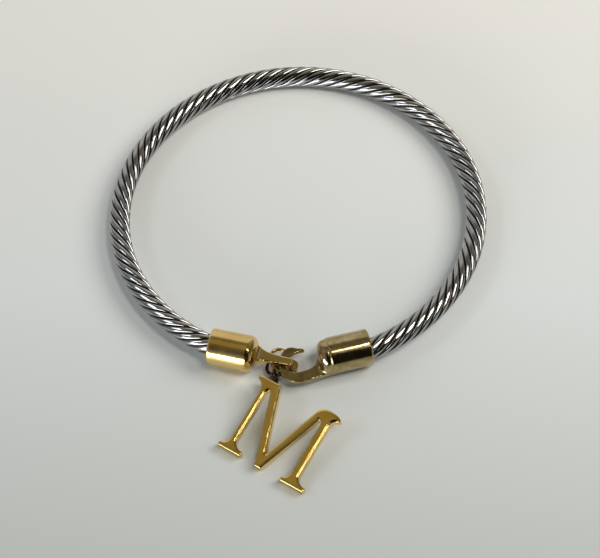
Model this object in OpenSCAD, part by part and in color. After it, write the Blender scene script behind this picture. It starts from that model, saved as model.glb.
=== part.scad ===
// Twisted-rope bangle: a stiff ring of rope in two metal end caps, closed by
// an eye and a flat hook, with a letter charm hanging from an oval jump ring.
// Millimetres, +Z up. The ring lies on the table z = 0, its clasp toward -Y;
// the origin is the middle of the outline, on the table.

/* [Rope] */
// Half of the rope ring's centreline width, left to right
rope_rx = 31.0; // [30:0.1:32]
// How much the ring's side arcs are tighter than its front and back arcs
rope_flat = 1.8; // [1.2:0.1:2.2]
// Rope diameter over the strands
rope_d = 3.6; // [3.0:0.1:3.8]

/* [End caps] */
// Outside diameter of both end caps
cap_d = 6.2; // [5.6:0.1:6.6]
// Length of the eye's cap
cap_l_eye = 7.85; // [7:0.05:8.2]
// Length of the hook's cap
cap_l_hook = 7.1; // [6:0.1:8]
// Rounding of the edge at the caps' mouths
cap_round = 0.35; // [0.2:0.05:0.6]
// Rounding of the eye cap's edge toward the arm
eye_round = 1.0; // [0.4:0.05:1.3]
// Depth of the socket that holds the rope's end
bore_depth = 3.0; // [2:0.1:4]
// Gap around the rope's end in its socket
bore_gap = 0.05; // [0.03:0.01:0.1]

/* [Eye] */
// Width of the flat arm where it leaves the cap
arm_w = 2.3; // [1.8:0.05:2.6]
// Width of the arm's far end and of the eye's loop
loop_w = 1.4; // [1.2:0.05:1.7]
// Thickness of the arm and of the loop's bar
arm_t = 0.8; // [0.6:0.05:0.85]
// Where the arm ends and the loop's first end arc is centred, from the cap
eye_s0 = 4.35; // [4.25:0.05:4.45]
// Centre of the loop's second end arc, from the cap
eye_s1 = 5.55; // [5.45:0.05:5.75]
// Radius of the loop's end arcs, on the middle of the bar
eye_r = 1.3; // [1.28:0.01:1.34]

/* [Hook] */
// Thickness of the flat hook
hook_t = 0.78; // [0.6:0.02:0.8]
// Height of the hook's middle under the caps' axis
hook_drop = 0.99; // [0.96:0.01:1.02]
// Length of the domed end between the hook's cap and the hook
dome_l = 1.75; // [1.4:0.05:2]
// Rounding of the domed end
dome_round = 1.5; // [1:0.05:1.7]

/* [Jump ring] */
// Wire diameter of the oval jump ring
jump_wire = 0.6; // [0.5:0.02:0.62]
// Radius of its two end arcs, on the wire's middle
jump_r = 1.45; // [1.4:0.01:1.5]
// Half the straight length between the end arcs
jump_half = 1.1; // [1.05:0.01:1.15]

/* [Letter] */
// Height of the letter
let_h = 13.8; // [13:0.1:14]
// Thickness of the letter
let_t = 1.7; // [1.4:0.1:2]
// Width of the thin upright
stem_thin = 1.0; // [0.8:0.05:1.2]
// Width of the thick upright
stem_thick = 1.4; // [1.1:0.05:1.6]
// Slope of the letter up from the table, degrees
let_tilt = 12; // [11:0.5:13]
// Wire diameter of the bail on the letter's shoulder
bail_wire = 0.6; // [0.5:0.02:0.62]
// Radius of the bail, on the wire's middle
bail_r = 1.1; // [1.05:0.01:1.15]
// Thickness of the short neck between the bail and the letter
neck_d = 1.2; // [0.8:0.05:1.3]

/* [Hidden] */
$fn = 96;
rr = rope_d / 2;
cr = cap_d / 2;

// ring outline: two side arcs and the front and back arcs, all tangent
side_r = rope_rx - rope_flat;
side_a = acos(0.8);
long_r = side_r + rope_flat * 1.25;
long_c = rope_flat * 0.75;
rope_ry = long_r - long_c;

// left end: eye cap, axis from its mouth toward the clasp
eye_m = [-13.31, -27.17];
eye_dir = -11.8;
// right end: hook cap, axis from its mouth toward the clasp
hook_m = [13.33, -26.63];
hook_dir = 180 + 16.2;

// the ring lies on the far rope and on the caps, so its plane slopes a little
plane_s = asin((cr - rr) / (rope_ry - hook_m[1]));
plane_h = rr + rope_ry * sin(plane_s);

// the rope keeps its arc into each cap, and the socket is cut along that arc;
// angles of the two mouths about the front arc's centre, and of the depth
function ang(v) = atan2(v[1], v[0]);
eye_a = ang(eye_m - [0, long_c]);
hook_a = ang(hook_m - [0, long_c]);
bore_a = bore_depth / long_r * 180 / PI;
end_gap_a = 0.1 / long_r * 180 / PI;

// hook outline in plan, from the cap's near edge round the bend to the tip
// and back along the inside to the cap's far edge
hook_pts = [
    [7.2, -31.35], [6.2, -31.75], [5.1, -32.25], [3.9, -32.8], [2.4, -33.2],
    [0.9, -33.25], [-0.35, -32.8], [-1.15, -32.0], [-1.55, -31.1],
    [-1.62, -30.2], [-1.58, -29.4], [-1.54, -28.7], [-1.4, -27.85],
    [-0.95, -27.15], [-0.3, -26.75], [0.45, -26.65], [1.2, -26.82],
    [1.9, -26.85], [2.3, -27.0], [2.3, -27.32], [1.75, -27.48],
    [1.2, -27.7], [0.65, -28.0], [0.12, -28.6], [-0.34, -29.4], [-0.38, -30.2], [-0.23, -30.75],
    [0.15, -31.18], [0.9, -31.38], [2.0, -31.22], [3.1, -30.8],
    [4.2, -30.0], [4.65, -28.9], [4.75, -27.6], [4.95, -26.4], [5.6, -25.7]];
function crom(a, b, c, d, t) = 0.5 * (2 * b + (c - a) * t
    + (2 * a - 5 * b + 4 * c - d) * t * t + (3 * b - a - 3 * c + d) * t * t * t);
function smooth(p, k) = let (n = len(p)) [
    for (i = [0 : n - 2], j = [0 : k - 1])
        crom(p[max(i - 1, 0)], p[i], p[i + 1], p[min(i + 2, n - 1)], j / k),
    p[n - 1]];

// jump ring: middle in plan, turn of its long way, height under the ring plane
jump_c = [-2.08, -29.0];
jump_turn = 101.5;
jump_z = -1.83;

// letter: middle of the baseline on the table, and the baseline's direction
let_p = [-3.95, -48.46];
let_dir = -29.28;
// slope of the two diagonals, sideways per millimetre up
dia_l = 0.335;
dia_r = 0.36;
// bail centre
bail_c = [-2.52, -31.86, 1.46];

// outline of the whole, front to back, for the origin's place
front_y = let_p[1] - 8.4 * sin(-let_dir) - let_t * sin(let_tilt) * cos(let_dir);
back_y = rope_ry * cos(plane_s) + rr;
shift_y = -(front_y + back_y) / 2;

steel = [0.46, 0.44, 0.42];
gold = [0.78, 0.62, 0.28];
pale_gold = [0.68, 0.62, 0.40];

module in_ring() {
    translate([0, shift_y, plane_h]) rotate([-plane_s, 0, 0]) children();
}

// round bar bent to an arc in the ring's plane
module bend(c, r, a0, a1, bar = rr) {
    translate([c[0], c[1], 0]) rotate([0, 0, a0])
        rotate_extrude(angle = a1 - a0) translate([r, 0]) circle(r = bar);
}

// the ring is five tangent arcs; the long ones are a hair thinner, so that
// they end inside the side arcs
module rope_cable() {
    thin = rr - 0.02;
    lap = 0.4;
    color(steel) in_ring() {
        bend([rope_flat, 0], side_r, -side_a, side_a);
        bend([-rope_flat, 0], side_r, 180 - side_a, 180 + side_a);
        bend([0, -long_c], long_r, side_a - lap, 180 - side_a + lap, thin);
        bend([0, long_c], long_r, 180 + side_a - lap,
            360 + eye_a + bore_a - end_gap_a, thin);
        bend([0, long_c], long_r, hook_a - bore_a + end_gap_a, lap - side_a, thin);
    }
}

// half section of a rounded can, first end at the origin
module can_half(r, l, e0, e1) {
    difference() {
        union() {
            square([r - max(e0, e1), l]);
            translate([0, e0]) square([r, l - e0 - e1]);
            square([r - e0, l / 2]);
            translate([0, l / 2]) square([r - e1, l / 2]);
            translate([r - e0, e0]) circle(r = e0);
            translate([r - e1, l - e1]) circle(r = e1);
        }
        translate([-2 * r, -1]) square([2 * r, l + 2]);
    }
}

module can(r, l, e0, e1) {
    rotate([0, 90, 0]) rotate_extrude() can_half(r, l, e0, e1);
}

// socket for the rope's end, from a little before the mouth
module socket(a0, a1) {
    bend([0, long_c], long_r, a0, a1, rr + bore_gap);
}

module at_end(m, a) {
    translate([m[0], m[1], 0]) rotate([0, 0, a]) children();
}

module eye_cap() {
    color(gold) in_ring() {
        difference() {
            at_end(eye_m, eye_dir) can(cr, cap_l_eye, cap_round, eye_round);
            socket(eye_a - 4, eye_a + bore_a);
        }
        at_end(eye_m, eye_dir) {
            translate([cap_l_eye, 0, -arm_t / 2]) linear_extrude(arm_t)
                polygon([[-0.6, -arm_w / 2], [eye_s0, -loop_w / 2],
                    [eye_s0, loop_w / 2], [-0.6, arm_w / 2]]);
            translate([cap_l_eye, loop_w / 2, -eye_r]) rotate([90, 0, 0])
                linear_extrude(loop_w) difference() {
                    loop_2d(eye_r + arm_t / 2);
                    loop_2d(eye_r - arm_t / 2);
                }
        }
    }
}

module loop_2d(r) {
    translate([eye_s0, 0]) circle(r = r);
    translate([eye_s1, 0]) circle(r = r);
    translate([eye_s0, -r]) square([eye_s1 - eye_s0, 2 * r]);
}

module hook_cap() {
    color(pale_gold) in_ring() {
        difference() {
            at_end(hook_m, hook_dir) can(cr, cap_l_hook, cap_round, 0.25);
            socket(hook_a - bore_a, hook_a + 4);
        }
        at_end(hook_m, hook_dir)
            translate([cap_l_hook - 1, 0, 0]) difference() {
                can(cr - 0.2, dome_l + 1, 0.2, dome_round);
                translate([1, -cr, -cr - hook_drop - hook_t / 2])
                    cube([dome_l + 2, 2 * cr, cr]);
            }
        translate([0, 0, -hook_drop - hook_t / 2]) linear_extrude(hook_t)
            polygon(concat(smooth(hook_pts, 4), [[7.4, -27.0], [8.0, -29.8]]));
    }
}

module jump_ring() {
    color(gold) in_ring() translate([jump_c[0], jump_c[1], jump_z])
        rotate([0, 0, 180 - jump_turn + 90]) {
            for (s = [0, 180]) rotate([0, 0, s]) {
                translate([0, jump_half, 0]) rotate_extrude(angle = 180)
                    translate([jump_r, 0]) circle(d = jump_wire);
                translate([jump_r, -jump_half, 0]) rotate([-90, 0, 0])
                    cylinder(h = 2 * jump_half, d = jump_wire);
            }
        }
}

module letter_2d() {
    h = let_h;
    // thin upright on the left, with its foot and head
    translate([-6.67, 0.3]) square([stem_thin, h - 0.4]);
    polygon([[-8.1, 0.28], [-3.85, 0.28], [-3.8, 0.85], [-4.8, 1.15],
        [-6.67 + stem_thin, 2.3], [-6.67, 2.3], [-7.15, 1.2], [-8.1, 0.85]]);
    polygon([[-8.0, h - 0.15], [-8.0, h - 0.75], [-6.67, h - 1.3],
        [-6.67 + stem_thin, h - 1.8], [-4.8, h - 1.8], [-3.95, h],
        [-7.6, h]]);
    // thick upright on the right, with its foot and head
    translate([5.1, 0]) square([stem_thick, h - 0.4]);
    polygon([[3.9, 0], [8.4, 0], [8.4, 0.6], [7.4, 0.95],
        [5.1 + stem_thick, 2.1], [5.1, 2.1], [4.7, 0.95], [3.9, 0.6]]);
    polygon([[3.8, h - 0.6], [4.45, h - 0.05], [5.3, h + 0.1], [6.5, h],
        [7.6, h - 0.45], [7.7, h - 0.85], [5.1 + stem_thick, h - 1.6],
        [5.1, h - 2.4], [4.3, h - 2.0]]);
    // the two diagonals down to their flat point
    polygon([[-1.0, 0.1], [0.3, 0.1], [0.25 + dia_r * (h - 0.3), h - 0.3],
        [-1.05 + dia_r * (h - 0.8), h - 0.8], [-0.25, 2.5],
        [0.6 - dia_l * h, h], [-0.95 - dia_l * h, h]]);
}

module letter_charm() {
    color(gold) translate([0, shift_y, 0]) {
        translate([let_p[0], let_p[1], 0]) rotate([0, 0, let_dir])
            rotate([let_tilt, 0, 0]) linear_extrude(let_t) letter_2d();
        translate(bail_c) rotate([0, 90, 0])
            rotate_extrude() translate([bail_r, 0]) circle(d = bail_wire);
        // short neck from the letter's shoulder to the bail
        translate([-2.6, -34.2, 3.3]) rotate([0, 0, 88])
            rotate([0, 90 + 40, 0]) cylinder(h = 1.75, d = neck_d);
    }
}

rope_cable();
eye_cap();
hook_cap();
jump_ring();
letter_charm();
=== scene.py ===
import math

import bpy
import numpy as np
from mathutils import Matrix, Vector


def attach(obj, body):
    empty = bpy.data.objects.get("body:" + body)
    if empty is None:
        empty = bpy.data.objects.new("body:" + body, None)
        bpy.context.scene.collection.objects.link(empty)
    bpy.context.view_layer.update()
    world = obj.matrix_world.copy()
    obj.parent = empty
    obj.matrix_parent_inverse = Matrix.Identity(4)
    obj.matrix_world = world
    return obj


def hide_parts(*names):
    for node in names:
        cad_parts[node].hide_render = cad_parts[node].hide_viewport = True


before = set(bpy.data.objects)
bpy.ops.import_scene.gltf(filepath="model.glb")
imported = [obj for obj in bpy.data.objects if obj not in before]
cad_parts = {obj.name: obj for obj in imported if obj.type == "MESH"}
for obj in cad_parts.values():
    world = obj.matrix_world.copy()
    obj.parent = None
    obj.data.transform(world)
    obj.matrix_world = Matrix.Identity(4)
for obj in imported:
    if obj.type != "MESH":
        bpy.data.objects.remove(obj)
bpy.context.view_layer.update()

MM = 0.001

# ---------------------------------------------------------------- the frame
# the same sizes as part.scad, in millimetres, in the ring's own plane
ROPE_RX, ROPE_FLAT, ROPE_D = 31.0, 1.8, 3.6
CAP_D, CAP_ROUND, EYE_ROUND = 6.2, 0.35, 1.35
RR, CR = ROPE_D / 2, CAP_D / 2
SIDE_R = ROPE_RX - ROPE_FLAT
SIDE_A = math.degrees(math.acos(0.8))
LONG_R = SIDE_R + ROPE_FLAT * 1.25
LONG_C = ROPE_FLAT * 0.75
ROPE_RY = LONG_R - LONG_C
EYE_M, EYE_DIR, EYE_L = np.array([-13.31, -27.17]), -11.8, 7.85
EYE_S0, EYE_S1, ARM_W, LOOP_W = 4.35, 5.55, 2.3, 1.4
HOOK_M, HOOK_DIR, HOOK_L = np.array([13.33, -26.63]), 196.2, 7.1
PLANE_S = math.asin((CR - RR) / (ROPE_RY - HOOK_M[1]))
PLANE_H = RR + ROPE_RY * math.sin(PLANE_S)
LET_P, LET_DIR, LET_TILT, LET_H, LET_T = (-3.95, -48.46), -29.28, 12.0, 13.8, 1.7
FRONT_Y = (
    LET_P[1]
    - 8.4 * math.sin(math.radians(-LET_DIR))
    - LET_T * math.sin(math.radians(LET_TILT)) * math.cos(math.radians(LET_DIR))
)
BACK_Y = ROPE_RY * math.cos(PLANE_S) + RR
SHIFT_Y = -(FRONT_Y + BACK_Y) / 2


def in_ring(p):
    """Ring-plane millimetres to metres in the row's frame."""
    p = np.asarray(p, float)
    c, s = math.cos(PLANE_S), math.sin(PLANE_S)
    x, y, z = p[..., 0], p[..., 1], p[..., 2]
    return (
        np.stack([x, y * c + z * s + SHIFT_Y, z * c - y * s + PLANE_H], -1) * MM
    )


# ------------------------------------------------------------- mesh helpers
def add_mesh(name, verts, faces, body="root"):
    me = bpy.data.meshes.new(name)
    me.from_pydata([tuple(v) for v in verts], [], [tuple(f) for f in faces])
    me.validate()
    me.polygons.foreach_set("use_smooth", [True] * len(me.polygons))
    ob = bpy.data.objects.new(name, me)
    bpy.context.scene.collection.objects.link(ob)
    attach(ob, body)
    return ob


def surface(f, lo, hi, h, steps=2):
    """Closed mesh of the surface where f is 0, by dual cells, each point then
    moved onto the surface along f's slope."""
    lo, hi = np.array(lo, float), np.array(hi, float)
    n = np.ceil((hi - lo) / h).astype(int) + 1
    ax = [lo[i] + h * np.arange(n[i]) for i in range(3)]
    F = np.empty(n, np.float32)
    for i in range(n[0]):
        Y, Z = np.meshgrid(ax[1], ax[2], indexing="ij")
        P = np.stack([np.full(Y.shape, ax[0][i]), Y, Z], -1).reshape(-1, 3)
        F[i] = f(P).reshape(Y.shape)
    S = F < 0
    c = [S[i : i + n[0] - 1, j : j + n[1] - 1, k : k + n[2] - 1]
         for i in (0, 1) for j in (0, 1) for k in (0, 1)]
    tot = sum(x.astype(np.int8) for x in c)
    act = (tot > 0) & (tot < 8)
    idx = np.full(act.shape, -1, np.int64)
    cells = np.argwhere(act)
    idx[act] = np.arange(len(cells))
    acc = np.zeros((len(cells), 3))
    cnt = np.zeros(len(cells))
    corner = [(i, j, k) for i in (0, 1) for j in (0, 1) for k in (0, 1)]
    for a in range(8):
        for b in range(a + 1, 8):
            d = np.subtract(corner[b], corner[a])
            if abs(d).sum() != 1:
                continue
            pa, pb = cells + corner[a], cells + corner[b]
            fa, fb = F[tuple(pa.T)], F[tuple(pb.T)]
            m = (fa < 0) != (fb < 0)
            t = (fa[m] / (fa[m] - fb[m]))[:, None]
            acc[m] += pa[m] + t * (pb[m] - pa[m])
            cnt[m] += 1
    V = lo + h * acc / cnt[:, None]
    quads = []
    for axis in range(3):
        e = [0, 0, 0]
        e[axis] = 1
        A = S[: n[0] - e[0], : n[1] - e[1], : n[2] - e[2]]
        B = S[e[0] :, e[1] :, e[2] :]
        ed = np.argwhere(A != B)
        u, v = (axis + 1) % 3, (axis + 2) % 3
        ed = ed[(ed[:, u] > 0) & (ed[:, v] > 0)]
        ed = ed[(ed[:, u] < n[u] - 1) & (ed[:, v] < n[v] - 1)]
        q = []
        for du, dv in ((1, 1), (0, 1), (0, 0), (1, 0)):
            p = ed.copy()
            p[:, u] -= du
            p[:, v] -= dv
            q.append(idx[tuple(p.T)])
        q = np.stack(q, -1)
        flip = ~A[tuple(ed.T)]
        q[flip] = q[flip][:, ::-1]
        quads.append(q)
    Q = np.concatenate(quads)
    for _ in range(steps):
        e = h * 0.08
        g = np.stack([f(V + np.eye(3)[i] * e) - f(V - np.eye(3)[i] * e)
                      for i in range(3)], -1) / (2 * e)
        gg = np.maximum((g * g).sum(-1, keepdims=True), 0.05)
        st = f(V)[:, None] * g / gg
        ln = np.linalg.norm(st, axis=1, keepdims=True)
        V = V - st * np.minimum(1, 0.4 * h / np.maximum(ln, 1e-9))
    return V, Q


def tube(path, radius, sides=12, closed=False):
    """Round tube on a list of points; radius is a number or one per point."""
    P = np.asarray(path, float)
    n = len(P)
    r = np.broadcast_to(np.asarray(radius, float), (n,))
    if closed:
        T = np.roll(P, -1, 0) - np.roll(P, 1, 0)
    else:
        T = np.gradient(P, axis=0)
    T /= np.linalg.norm(T, axis=1)[:, None]
    N = np.empty_like(P)
    a = np.array([0.0, 0.0, 1.0]) if abs(T[0][2]) < 0.9 else np.array([1.0, 0, 0])
    v = a - T[0] * (a @ T[0])
    N[0] = v / np.linalg.norm(v)
    for i in range(1, n):
        v = N[i - 1] - T[i] * (N[i - 1] @ T[i])
        N[i] = v / np.linalg.norm(v)
    if closed:
        v = N[-1] - T[0] * (N[-1] @ T[0])
        v /= np.linalg.norm(v)
        tw = math.atan2(np.cross(v, N[0]) @ T[0], v @ N[0])
        for i in range(n):
            w = tw * i / n
            N[i] = N[i] * math.cos(w) + np.cross(T[i], N[i]) * math.sin(w)
    B = np.cross(T, N)
    t = np.linspace(0, 2 * np.pi, sides, endpoint=False)
    ring = np.cos(t)[None, :, None] * N[:, None] + np.sin(t)[None, :, None] * B[:, None]
    V = (P[:, None] + r[:, None, None] * ring).reshape(-1, 3)
    F = []
    for i in range(n if closed else n - 1):
        j = (i + 1) % n
        for k in range(sides):
            m = (k + 1) % sides
            F.append((i * sides + k, i * sides + m, j * sides + m, j * sides + k))
    if not closed:
        c0, c1 = len(V), len(V) + 1
        V = np.vstack([V, P[0] - T[0] * r[0] * 0.3, P[-1] + T[-1] * r[-1] * 0.3])
        for k in range(sides):
            m = (k + 1) % sides
            F.append((c0, m, k))
            F.append((c1, (n - 1) * sides + k, (n - 1) * sides + m))
    return V, F


def poly_sd(P, Q):
    """Signed distance of points P (n, 2) to the closed outline Q, minus inside."""
    P = np.asarray(P, float)
    same = np.nonzero((P[1:] != P[:-1]).any(1))[0]
    run = int(same[0]) + 1 if len(same) else len(P)
    if run > 3 and len(P) % run == 0:
        # a slice of a grid: the same plan point stands under each height
        return np.repeat(poly_sd(P[::run], Q), run)
    out = np.full(len(P), 1e9)
    ins = np.zeros(len(P), bool)
    for i in range(len(Q)):
        a, b = Q[i], Q[(i + 1) % len(Q)]
        ab = b - a
        ap = P - a
        t = np.clip((ap @ ab) / (ab @ ab), 0, 1)
        d = ((ap - t[:, None] * ab) ** 2).sum(-1)
        out = np.minimum(out, d)
        c = (a[1] > P[:, 1]) != (b[1] > P[:, 1])
        if c.any():
            x = a[0] + (P[c, 1] - a[1]) * ab[0] / ab[1]
            ins[c] ^= P[c, 0] < x
    out = np.sqrt(out)
    return np.where(ins, -out, out)


def smin(a, b, k):
    m = np.clip(0.5 + 0.5 * (b - a) / k, 0, 1)
    return b * (1 - m) + a * m - k * m * (1 - m)


def smax(a, b, k):
    return -smin(-a, -b, k)


def slab(a, b):
    """Outside corner rounded join of two half distances."""
    return np.hypot(np.maximum(a, 0), np.maximum(b, 0)) + np.minimum(
        np.maximum(a, b), 0
    )


def crom(p, k):
    out = []
    n = len(p)
    for i in range(n - 1):
        a, b, c, d = p[max(i - 1, 0)], p[i], p[i + 1], p[min(i + 2, n - 1)]
        for j in range(k):
            t = j / k
            out.append(0.5 * (2 * b + (c - a) * t + (2 * a - 5 * b + 4 * c - d) * t * t
                              + (3 * b - a - 3 * c + d) * t**3))
    out.append(p[-1])
    return np.array(out)


# ---------------------------------------------------------------- materials
class Nodes:
    def __init__(self, name):
        self.mat = bpy.data.materials.get(name) or bpy.data.materials.new(name)
        self.mat.use_nodes = True
        self.t = self.mat.node_tree
        self.bsdf = self.t.nodes["Principled BSDF"]
        self.coord = self.t.nodes.new("ShaderNodeTexCoord").outputs["Object"]

    def link(self, a, b):
        self.t.links.new(a, b)

    def node(self, kind, **kw):
        n = self.t.nodes.new(kind)
        for k, v in kw.items():
            setattr(n, k, v)
        return n

    def noise(self, scale, detail=3.0, rough=0.5, stretch=None, distort=0.0):
        m = self.node("ShaderNodeMapping")
        m.inputs["Scale"].default_value = stretch or (1, 1, 1)
        self.link(self.coord, m.inputs["Vector"])
        n = self.node("ShaderNodeTexNoise")
        n.inputs["Scale"].default_value = scale
        n.inputs["Detail"].default_value = detail
        n.inputs["Roughness"].default_value = rough
        n.inputs["Distortion"].default_value = distort
        self.link(m.outputs["Vector"], n.inputs["Vector"])
        return n.outputs["Fac"]

    def ramp(self, fac, stops):
        n = self.node("ShaderNodeValToRGB")
        e = n.color_ramp.elements
        while len(e) > len(stops):
            e.remove(e[-1])
        while len(e) < len(stops):
            e.new(0.5)
        for el, (p, c) in zip(e, stops):
            el.position = p
            el.color = (*c, 1) if len(c) == 3 else (c[0], c[0], c[0], 1)
        self.link(fac, n.inputs["Fac"])
        return n.outputs["Color"]

    def span(self, fac, a, b, lo, hi):
        n = self.node("ShaderNodeMapRange")
        n.inputs["From Min"].default_value = a
        n.inputs["From Max"].default_value = b
        n.inputs["To Min"].default_value = lo
        n.inputs["To Max"].default_value = hi
        self.link(fac, n.inputs["Value"])
        return n.outputs["Result"]

    def mix(self, fac, a, b, blend="MIX"):
        n = self.node("ShaderNodeMix", data_type="RGBA", blend_type=blend)
        ins = [s for s in n.inputs if s.enabled]
        for s, v in zip(ins, (fac, a, b)):
            if hasattr(v, "links"):
                self.link(v, s)
            elif isinstance(v, (int, float)):
                s.default_value = v
            else:
                s.default_value = (*v, 1)
        return [o for o in n.outputs if o.enabled][0]

    def bump(self, height, dist, strength=1.0, normal=None):
        n = self.node("ShaderNodeBump")
        n.inputs["Distance"].default_value = dist
        n.inputs["Strength"].default_value = strength
        self.link(height, n.inputs["Height"])
        if normal is not None:
            self.link(normal, n.inputs["Normal"])
        return n.outputs["Normal"]


def metal(name, stops, rough=(0.12, 0.3), grain=600, scuff=0.0, wob=0.0):
    """Polished metal: colour drifting over a few millimetres, polish that
    varies, hair scratches and a slightly uneven hand-finished surface."""
    n = Nodes(name)
    n.bsdf.inputs["Metallic"].default_value = 1.0
    drift = n.noise(grain, 4.0, 0.6)
    n.link(n.ramp(drift, stops), n.bsdf.inputs["Base Color"])
    wear = n.noise(grain * 2.3, 5.0, 0.65)
    n.link(n.span(wear, 0.35, 0.7, rough[0], rough[1]), n.bsdf.inputs["Roughness"])
    nrm = None
    if wob:
        nrm = n.bump(n.noise(420, 2.0, 0.4), wob * MM)
    if scuff:
        hair = n.noise(2600, 2.0, 0.6, (1, 0.08, 1))
        nrm = n.bump(hair, scuff * MM, 1.0, nrm)
    if nrm is not None:
        n.link(nrm, n.bsdf.inputs["Normal"])
    return n.mat


STEEL = metal(
    "rope_steel",
    [(0.3, (0.365, 0.36, 0.35)), (0.7, (0.485, 0.48, 0.475))],
    rough=(0.08, 0.15), grain=260, scuff=0.0, wob=0.0,
)
# near-black metal for the core, which shows only in the gaps between the strands: painted shade
# in the rope's grooves
GROOVE_SHADE = metal("rope_core", [(0.3, (0.015, 0.013, 0.011)), (0.7, (0.035, 0.03, 0.026))],
             rough=(0.4, 0.6))
CAP = metal(
    "cap_gold",
    [(0.25, (0.72, 0.50, 0.17)), (0.5, (0.82, 0.59, 0.23)), (0.75, (0.90, 0.68, 0.33))],
    rough=(0.09, 0.2), grain=240, scuff=0.003, wob=0.02,
)
WORN = metal(
    "worn_gold",
    [(0.25, (0.30, 0.22, 0.09)), (0.5, (0.46, 0.36, 0.18)), (0.75, (0.60, 0.51, 0.32))],
    rough=(0.09, 0.2), grain=520, scuff=0.006, wob=0.04,
)
WIRE = metal(
    "wire_gold",
    [(0.3, (0.55, 0.4, 0.18)), (0.7, (0.72, 0.56, 0.3))],
    rough=(0.1, 0.2), grain=500, scuff=0.0, wob=0.0,
)
CHARM = metal(
    "charm_gold",
    [(0.25, (0.74, 0.53, 0.15)), (0.5, (0.86, 0.62, 0.20)), (0.75, (0.92, 0.69, 0.28))],
    rough=(0.07, 0.15), grain=260, scuff=0.0015, wob=0.018,
)
# near-black gold for the bail and neck: painted shade and a painted dark reflection under the
# arm and hook
SHADE_DARK = metal(
    "charm_dark",
    [(0.3, (0.035, 0.022, 0.022)), (0.7, (0.16, 0.10, 0.075))],
    rough=(0.12, 0.3), grain=700, scuff=0.0, wob=0.02,
)


def dress(ob, node, mat):
    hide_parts(node)
    ob.data.materials.clear()
    ob.data.materials.append(mat)
    return ob


# --------------------------------------------------------------------- rope
def arc(cx, cy, r, a0, a1, step=0.25):
    n = max(2, int(abs(math.radians(a1 - a0)) * r / step))
    t = np.radians(np.linspace(a0, a1, n, endpoint=False))
    return np.stack([cx + r * np.cos(t), cy + r * np.sin(t)], -1)


def ang(x, y):
    return math.degrees(math.atan2(y, x))


EYE_A = ang(EYE_M[0], EYE_M[1] - LONG_C)
HOOK_A = ang(HOOK_M[0], HOOK_M[1] - LONG_C)
DEPTH = math.degrees(2.9 / LONG_R)
# from the hook's cap round the back to the eye's cap
path = np.vstack([
    arc(0, LONG_C, LONG_R, HOOK_A - DEPTH, -SIDE_A),
    arc(ROPE_FLAT, 0, SIDE_R, -SIDE_A, SIDE_A),
    arc(0, -LONG_C, LONG_R, SIDE_A, 180 - SIDE_A),
    arc(-ROPE_FLAT, 0, SIDE_R, 180 - SIDE_A, 180 + SIDE_A),
    arc(0, LONG_C, LONG_R, 180 + SIDE_A, 360 + EYE_A + DEPTH),
])
seg = np.linalg.norm(np.diff(path, axis=0), axis=1)
s = np.concatenate([[0], np.cumsum(seg)])
LEN = s[-1]
su = np.linspace(0, LEN, int(LEN / 0.29))
ring_xy = np.stack([np.interp(su, s, path[:, i]) for i in (0, 1)], -1)
tan = np.gradient(ring_xy, axis=0)
tan /= np.linalg.norm(tan, axis=1)[:, None]
out = np.stack([tan[:, 1], -tan[:, 0]], -1)

STRANDS, LAY = 8, 18.1
PHASE = 0.0
# each strand is a flattened oval laid along the helix
HIGH, WIDE = 0.33, 0.425
rc = RR - HIGH
NS = 20
V, F = [], []
T3 = np.c_[tan, np.zeros(len(su))]
O3 = np.c_[out, np.zeros(len(su))]
for k in range(STRANDS):
    ph = (PHASE + 2 * np.pi * (k / STRANDS + su / LAY))[:, None]
    N3 = np.cos(ph) * O3 + np.sin(ph) * [0, 0, 1]
    A3 = -np.sin(ph) * O3 + np.cos(ph) * [0, 0, 1]
    D3 = T3 + A3 * (2 * np.pi * rc / LAY)
    D3 /= np.linalg.norm(D3, axis=1)[:, None]
    B3 = np.cross(D3, N3)
    C = np.c_[ring_xy, np.zeros(len(su))] + rc * N3
    t = np.linspace(0, 2 * np.pi, NS, endpoint=False)
    # flatter on top than an ellipse, steeper at its sides
    ct, st = np.cos(t), np.sin(t)
    sec_n = HIGH * np.sign(ct) * np.abs(ct) ** 0.7
    sec_b = WIDE * np.sign(st) * np.abs(st) ** 0.7
    P = (C[:, None] + sec_n[None, :, None] * N3[:, None]
         + sec_b[None, :, None] * B3[:, None]).reshape(-1, 3)
    base = sum(len(x) for x in V)
    V.append(np.vstack([P, C[0], C[-1]]))
    n = len(su)
    for i in range(n - 1):
        for m in range(NS):
            q = (m + 1) % NS
            F.append((base + i * NS + m, base + i * NS + q,
                      base + (i + 1) * NS + q, base + (i + 1) * NS + m))
    for m in range(NS):
        q = (m + 1) % NS
        F.append((base + n * NS, base + q, base + m))
        F.append((base + n * NS + 1, base + (n - 1) * NS + m, base + (n - 1) * NS + q))
rope = add_mesh("rope_strands", in_ring(np.vstack(V)), F)
dress(rope, "rope_cable", STEEL)
# the core tube lies just under the strands' tops, so the painted groove shade shows between
# them
v, f = tube(np.c_[ring_xy, np.zeros(len(ring_xy))][::3], 1.66, 28)
core = add_mesh("rope_core", in_ring(v), f)
dress(core, "rope_cable", GROOVE_SHADE)


# --------------------------------------------------------------------- caps
def local(m, a):
    d = np.array([math.cos(math.radians(a)), math.sin(math.radians(a))])
    w = np.array([-d[1], d[0]])
    return lambda P: (
        (P[:, 0] - m[0]) * d[0] + (P[:, 1] - m[1]) * d[1],
        (P[:, 0] - m[0]) * w[0] + (P[:, 1] - m[1]) * w[1],
        P[:, 2],
    )


def socket(P, a):
    """The rope's socket, on the ring's arc, to the bore's depth."""
    q = np.hypot(np.hypot(P[:, 0], P[:, 1] - LONG_C) - LONG_R, P[:, 2]) - (RR + 0.05)
    return np.maximum(q, a - 3.0)


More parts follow.
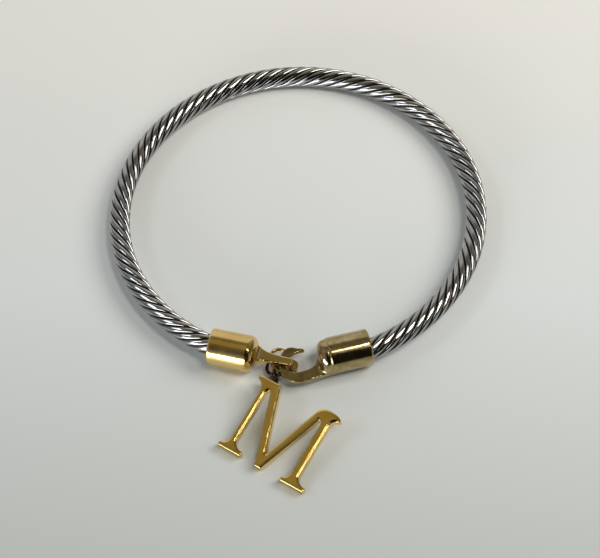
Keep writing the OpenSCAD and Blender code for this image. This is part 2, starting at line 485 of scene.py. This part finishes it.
def can(a, w, z, length, r=CR, e0=CAP_ROUND, e1=0.25):
    e = np.where(a < length / 2, e0, e1)
    rad = np.hypot(w, z) - (r - e)
    ax = np.abs(a - length / 2) - (length / 2 - e)
    return slab(rad, ax) - e


eye_l = local(EYE_M, EYE_DIR)


def eye_f(P):
    a, w, z = eye_l(P)
    d = can(a, w, z, EYE_L, e1=EYE_ROUND)
    # arm, wider and thicker where it leaves the rounded end
    s1 = a - EYE_L
    near = np.exp(-np.clip(s1 - 0.1, 0, 9) ** 2 / 1.3)
    along = np.clip((s1 + 0.6) / (EYE_S0 + 0.6), 0, 1)
    e = 0.14 + 0.1 * along
    half_w = (ARM_W + (LOOP_W - ARM_W) * along) / 2 - e + 0.3 * near
    half_t = 0.4 - e + 0.35 * near
    mid, half = (EYE_S0 - 0.9) / 2, (EYE_S0 + 0.9) / 2
    q = np.stack([np.abs(s1 - mid) - (half - e), (np.abs(w) - half_w) * 0.9,
                  (np.abs(z) - half_t) * 0.9], -1)
    arm = np.linalg.norm(np.maximum(q, 0), axis=1) + np.minimum(q.max(1), 0) - e
    d = smin(d, arm, 0.85)
    # loop: flat bar bent to an upright oblong
    ds = np.where(s1 < EYE_S0, s1 - EYE_S0, np.where(s1 > EYE_S1, s1 - EYE_S1, 0))
    rad = np.abs(np.hypot(ds, z + 1.3) - 1.3) - (0.4 - 0.24)
    loop = slab(rad, np.abs(w) - (LOOP_W / 2 - 0.24)) - 0.24
    d = np.minimum(d, loop)
    return np.maximum(d, -socket(P, a))


h = 0.085
V, Q = surface(eye_f, (-14.9, -32.4, -3.4), (1.9, -23.3, 3.4), h)
eye = add_mesh("eye_cap_metal", in_ring(V), Q)
dress(eye, "eye_cap", CAP)

HOOK = np.array([
    [7.2, -31.35], [6.2, -31.75], [5.1, -32.25], [3.9, -32.8], [2.4, -33.2],
    [0.9, -33.25], [-0.35, -32.8], [-1.15, -32.0], [-1.55, -31.1],
    [-1.62, -30.2], [-1.58, -29.4], [-1.54, -28.7], [-1.4, -27.85],
    [-0.95, -27.15], [-0.3, -26.75], [0.45, -26.65], [1.2, -26.82],
    [1.9, -26.85], [2.3, -27.0], [2.3, -27.32], [1.75, -27.48],
    [1.2, -27.7], [0.65, -28.0], [0.12, -28.6], [-0.34, -29.4], [-0.38, -30.2], [-0.23, -30.75],
    [0.15, -31.18], [0.9, -31.38], [2.0, -31.22], [3.1, -30.8],
    [4.2, -30.0], [4.65, -28.9], [4.75, -27.6], [4.95, -26.4], [5.6, -25.7]])
hook_out = np.vstack([crom(HOOK, 3), [[7.4, -27.0], [8.0, -29.8]]])
hook_l = local(HOOK_M, HOOK_DIR)
DROP, HT = 0.99, 0.78


def hook_f(P):
    a, w, z = hook_l(P)
    d = can(a, w, z, HOOK_L)
    e = 0.2
    plan = poly_sd(P[:, :2], hook_out)
    plate = slab(plan + e, np.abs(z + DROP) - (HT / 2 - e)) - e
    # past a fine rim the end is domed and runs down into the flat hook
    s1 = a - HOOK_L
    dome = can(s1 + 1, w, z, 2.75, CR - 0.2, 0.2, 1.5)
    dome = np.maximum(dome, np.where(s1 > 0, -(z + DROP + HT / 2), -9))
    d = np.minimum(d, smin(dome, plate, 0.9))
    return np.maximum(d, -socket(P, a))


V, Q = surface(hook_f, (-2.2, -34.0, -3.4), (14.8, -23.0, 3.4), h)
hook = add_mesh("hook_cap_metal", in_ring(V), Q)
dress(hook, "hook_cap", WORN)

# ---------------------------------------------------------------- jump ring
JC, JT, JZ, JR, JH, JW = (-2.08, -29.0), 101.5, -1.83, 1.45, 1.1, 0.6
t = np.linspace(0, np.pi, 40)
loop = np.vstack([
    np.c_[JR * np.cos(t), JH + JR * np.sin(t)],
    np.c_[-JR * np.cos(t), -JH - JR * np.sin(t)],
])
fine = []
for i in range(len(loop)):
    a, b = loop[i], loop[(i + 1) % len(loop)]
    m = max(1, int(np.linalg.norm(b - a) / 0.15))
    fine += [a + (b - a) * j / m for j in range(m)]
fine = np.array(fine)
rot = math.radians(270 - JT)
c, sn = math.cos(rot), math.sin(rot)
jp = np.c_[JC[0] + fine[:, 0] * c - fine[:, 1] * sn,
           JC[1] + fine[:, 0] * sn + fine[:, 1] * c,
           np.full(len(fine), JZ)]
v, f = tube(jp, JW / 2, 20, closed=True)
jump = add_mesh("jump_ring_wire", in_ring(v), f)
# the wire's near half is painted near-black: painted shade under the arm and hook, and a
# painted dark reflection; the far half keeps the plain gold
near = Nodes("wire_gold")
wc = near.bsdf.inputs["Base Color"]
bright = wc.links[0].from_socket
sp = near.node("ShaderNodeSeparateXYZ")
near.link(near.coord, sp.inputs["Vector"])
shade_edge_y = (SHIFT_Y - 29.2) * MM
fac = near.span(sp.outputs["Y"], shade_edge_y, shade_edge_y + 0.0012, 0.0, 1.0)
near.link(near.mix(fac, (0.06, 0.035, 0.032), bright), wc)
dress(jump, "jump_ring", WIRE)


# ------------------------------------------------------------------- letter
def bow(a, b, c, n=6):
    """Curve from a to c, bent toward b."""
    a, b, c = map(np.array, (a, b, c))
    return [tuple((1 - t) ** 2 * a + 2 * t * (1 - t) * b + t * t * c)
            for t in np.linspace(0, 1, n)]


H = LET_H
L0, L1 = -6.67, -5.67
R0, R1 = 5.1, 6.5
# foot of the thin stem stands a little above the thick one's
outline = (
    [(-8.15, 0.4), (-8.03, 0.28), (-3.85, 0.28), (-3.72, 0.4), (-3.74, 0.86)]
    + bow((-3.88, 0.98), (L1 + 0.1, 1.25), (L1, 2.6))
    + bow((L1, H - 2.3), (L1 + 0.15, H - 1.75), (L1 + 0.45, H - 1.75), 5)
    + [(-0.95 - 0.336 * (H - 2.0), H - 2.0), (-1.0, 0.2), (-0.92, 0.1), (0.22, 0.1)]
    + [(0.32, 0.2), (0.3 + 0.36 * (H - 2.4), H - 2.4)]
    + bow((4.5, H - 2.1), (R0 - 0.1, H - 2.1), (R0, H - 2.7), 5)
    + bow((R0, 2.3), (R0 - 0.1, 1.0), (4.02, 0.68))
    + [(3.9, 0.55), (3.88, 0.12), (4.0, 0), (8.3, 0), (8.42, 0.12), (8.4, 0.55)]
    + bow((8.28, 0.68), (R1 + 0.1, 1.0), (R1, 2.3))
    + bow((R1, H - 2.1), (R1 + 0.1, H - 1.2), (7.45, H - 0.95), 6)
    + [(7.68, H - 0.86), (7.78, H - 0.66), (7.66, H - 0.4)]
    + bow((7.4, H - 0.2), (6.6, H + 0.14), (5.4, H + 0.12), 5)
    + bow((5.2, H + 0.1), (4.1, H + 0.05), (3.5, H - 0.9), 5)
    + [(-0.05, 2.75), (-0.2, 2.62), (-0.3, 2.75), (0.6 - 0.335 * (H - 0.15), H - 0.15),
       (0.45 - 0.335 * H, H), (-7.6, H), (-7.95, H - 0.08), (-8.08, H - 0.35)]
    + bow((-7.98, H - 0.72), (-6.95, H - 1.0), (L0, H - 2.2), 6)
    + bow((L0, 2.6), (L0 - 0.1, 1.25), (-8.0, 0.98))
    + [(-8.13, 0.86)]
)
outline = np.array(outline)


def letter_f(P):
    d2 = poly_sd(P[:, :2], outline)
    z = P[:, 2]
    # the face falls to its edges on a flat bevel
    top = LET_T - np.clip(0.44 + d2, 0, 0.44) * math.tan(math.radians(20))
    e = 0.07
    body = slab(d2 + e, np.maximum(-z, z - LET_T) + e) - e
    return smax(body, (z - top) * 0.94, 0.06)


lh = 0.09
V, Q = surface(letter_f, (-8.4, -0.4, -0.3), (8.7, H + 0.6, LET_T + 0.4), lh)
ca, sa = math.cos(math.radians(LET_TILT)), math.sin(math.radians(LET_TILT))
cd, sd = math.cos(math.radians(LET_DIR)), math.sin(math.radians(LET_DIR))


def in_letter(P):
    x, y, z = P[:, 0], P[:, 1] * ca - P[:, 2] * sa, P[:, 1] * sa + P[:, 2] * ca
    return np.c_[LET_P[0] + x * cd - y * sd,
                 LET_P[1] + x * sd + y * cd + SHIFT_Y, z] * MM


letter = add_mesh("letter", in_letter(V), Q)
dress(letter, "letter_charm", CHARM)
# bail and neck take the near-black gold, painted shade under the arm and hook
t = np.linspace(0, 2 * np.pi, 64, endpoint=False)
BC = (-2.52, -31.86, 1.46)
bp = np.c_[np.full(64, BC[0]), BC[1] + 1.1 * np.cos(t), BC[2] + 1.1 * np.sin(t)]
v, f = tube(bp, 0.38, 18, closed=True)
bail = add_mesh("letter_bail", (v + [0, SHIFT_Y, 0]) * MM, f)
dress(bail, "letter_charm", SHADE_DARK)
d = np.array([math.cos(math.radians(88)) * math.cos(math.radians(40)),
              math.sin(math.radians(88)) * math.cos(math.radians(40)),
              -math.sin(math.radians(40))])
np_ = np.array([-2.6, -34.2, 3.3]) + np.outer(np.linspace(0, 1.75, 12), d)
v, f = tube(np_, 0.72, 20)
v[:, 0] = (v[:, 0] - np_[0, 0]) * 1.35 + np_[0, 0]
neck = add_mesh("letter_neck", (v + [0, SHIFT_Y, 0]) * MM, f)
dress(neck, "letter_charm", SHADE_DARK)

# -------------------------------------------------------------------- stage
floor_me = bpy.data.meshes.new("floor")
floor_me.from_pydata([(-1.5, -1.5, 0), (1.5, -1.5, 0), (1.5, 1.5, 0), (-1.5, 1.5, 0)],
                     [], [(0, 1, 2, 3)])
floor = bpy.data.objects.new("floor", floor_me)
bpy.context.scene.collection.objects.link(floor)
floor.location.z = -0.00002
fm = Nodes("floor")
fm.bsdf.inputs["Roughness"].default_value = 0.28
# the floor's colour darkens from back to front: painted light falloff, brighter behind the ring
# and darker in front; the faint warm blotches are the floor's own tone
sep = fm.node("ShaderNodeSeparateXYZ")
fm.link(fm.coord, sep.inputs["Vector"])
depth = fm.span(sep.outputs["Y"], -0.055, 0.06, 0.0, 1.0)
painted_falloff = fm.ramp(depth, [(0.0, (0.525, 0.555, 0.555)), (0.45, (0.715, 0.755, 0.765)),
                       (1.0, (0.84, 0.84, 0.82))])
fm.link(fm.mix(fm.span(fm.noise(9.0, 2.0), 0.3, 0.7, 0.0, 0.05), painted_falloff,
               (0.76, 0.70, 0.64)), fm.bsdf.inputs["Base Color"])
floor_me.materials.append(fm.mat)


def area(name, az, el, dist, size, power, color, target=(0, 0, 0.003), shape="RECTANGLE",
         size_y=None):
    """A lamp; azimuth from +Y (behind the ring) toward +X (right)."""
    li = bpy.data.lights.new(name, "AREA")
    li.shape = shape
    li.size = size
    li.size_y = size_y or size
    li.energy = power
    li.color = color
    ob = bpy.data.objects.new(name, li)
    bpy.context.scene.collection.objects.link(ob)
    a, e = math.radians(az), math.radians(el)
    p = Vector((math.sin(a) * math.cos(e), math.cos(a) * math.cos(e), math.sin(e))) * dist
    ob.location = p + Vector(target)
    ob.rotation_euler = (Vector(target) - ob.location).to_track_quat("-Z", "Y").to_euler()
    return ob


def only(light, pieces, diffuse=True):
    """The light reaches these pieces alone."""
    c = bpy.data.collections.new(light.name + "_pieces")
    for p in pieces:
        c.objects.link(p)
    light.light_linking.receiver_collection = c
    light.visible_diffuse = diffuse


key = area("key", 80, 44, 0.6, 0.34, 2.15, (1.0, 0.965, 0.905))
key.visible_glossy = False
top = area("top", 116, 69.5, 2.0, 0.5, 9.0, (1.0, 0.965, 0.91), shape="DISK")
top.visible_glossy = False
fill = area("fill", -90, 44.5, 2.0, 0.5, 4.0, (0.74, 0.87, 1.0), shape="DISK")
fill.visible_glossy = False
area("front", 212, 8, 0.6, 0.46, 2.3, (0.95, 0.97, 1.0), size_y=0.19)
clasp = [eye, hook, jump, letter, bail, neck]
only(area("lamp", 116, 69.5, 2.0, 0.44, 15.0, (1.0, 0.955, 0.88), shape="ELLIPSE",
          size_y=0.66), clasp, False)
only(area("window", -90, 44.5, 2.0, 0.5, 6.0, (0.72, 0.86, 1.0), shape="DISK"),
     [eye, hook, jump], False)
only(area("letter_fill", 148, 68, 2.0, 0.5, 0.09, (1.0, 0.9, 0.7), shape="DISK"),
     [letter], False)
only(area("rope_lamp", 94, 62, 2.0, 1.12, 25.0, (1.0, 0.965, 0.91), shape="DISK"),
     [rope], False)
only(area("rope_window", -90, 48, 2.0, 0.85, 8.5, (0.74, 0.87, 1.0), shape="DISK"),
     [rope], False)

world = bpy.data.worlds.new("studio")
bpy.context.scene.world = world
world.use_nodes = True
wt = world.node_tree
bg = wt.nodes["Background"]
co = wt.nodes.new("ShaderNodeTexCoord").outputs["Generated"]


def toward(az, el):
    a, e = math.radians(az), math.radians(el)
    return (math.sin(a) * math.cos(e), math.cos(a) * math.cos(e), math.sin(e))


def lobe(az, el, inner, outer):
    """1 within `inner` degrees of a direction, 0 beyond `outer`."""
    d = wt.nodes.new("ShaderNodeVectorMath")
    d.operation = "DOT_PRODUCT"
    wt.links.new(co, d.inputs[0])
    d.inputs[1].default_value = toward(az, el)
    m = wt.nodes.new("ShaderNodeMapRange")
    m.interpolation_type = "SMOOTHSTEP"
    m.inputs["From Min"].default_value = math.cos(math.radians(outer))
    m.inputs["From Max"].default_value = math.cos(math.radians(inner))
    wt.links.new(d.outputs["Value"], m.inputs["Value"])
    return m.outputs["Result"]


def wmix(fac, a, b):
    n = wt.nodes.new("ShaderNodeMix")
    n.data_type = "RGBA"
    ins = [i for i in n.inputs if i.enabled]
    wt.links.new(fac, ins[0])
    for i, v in ((ins[1], a), (ins[2], b)):
        if hasattr(v, "links"):
            wt.links.new(v, i)
        else:
            i.default_value = (*v, 1)
    return [o for o in n.outputs if o.enabled][0]


room = wmix(lobe(-10, 8, 32, 52), (0.24, 0.24, 0.24), (0.66, 0.645, 0.62))
room = wmix(lobe(0, 90, 28, 46), room, (0.158, 0.138, 0.083))
room = wmix(lobe(-68, 74, 8, 20), room, (0.27, 0.22, 0.10))
room = wmix(lobe(85, 14, 20, 38), room, (0.12, 0.10, 0.06))
room = wmix(lobe(110, 60, 12, 30), room, (0.06, 0.052, 0.042))
room = wmix(lobe(176, 72, 8, 19), room, (0.02, 0.018, 0.016))
room = wmix(lobe(162, 46, 27, 38), room, (0.012, 0.011, 0.01))
room = wmix(lobe(158, 14, 18, 29), room, (0.012, 0.011, 0.01))
wt.links.new(room, bg.inputs["Color"])
bg.inputs["Strength"].default_value = 1.0
bpy.context.scene.view_settings.view_transform = "Standard"

# ------------------------------------------------------------------- camera
AZ, EL, ROLL, DIST, FOC = 5.829, 56.82, -3.893, 350.0, 2011.5
LX, LY, LZ = 1.049, -13.351, 2.45
a, e = math.radians(AZ), math.radians(EL)
pos = Vector((DIST * math.sin(a) * math.cos(e), -DIST * math.cos(a) * math.cos(e),
              LZ + DIST * math.sin(e)))
fwd = (Vector((LX, LY, LZ)) - pos).normalized()
right = fwd.cross(Vector((0, 0, 1))).normalized()
up = right.cross(fwd)
cr_, sr_ = math.cos(math.radians(ROLL)), math.sin(math.radians(ROLL))
xr, yu = cr_ * right + sr_ * up, cr_ * up - sr_ * right
rot3 = Matrix((xr, yu, -fwd)).transposed()
cam_data = bpy.data.cameras.new("camera")
cam_data.sensor_fit = "HORIZONTAL"
cam_data.sensor_width = 36.0
cam_data.lens = FOC * 36.0 / 600.0
cam_data.clip_start = 0.01
cam = bpy.data.objects.new("camera", cam_data)
bpy.context.scene.collection.objects.link(cam)
cam.matrix_world = Matrix.Translation((pos + Vector((0, SHIFT_Y, 0))) * MM) @ rot3.to_4x4()
bpy.context.scene.camera = cam
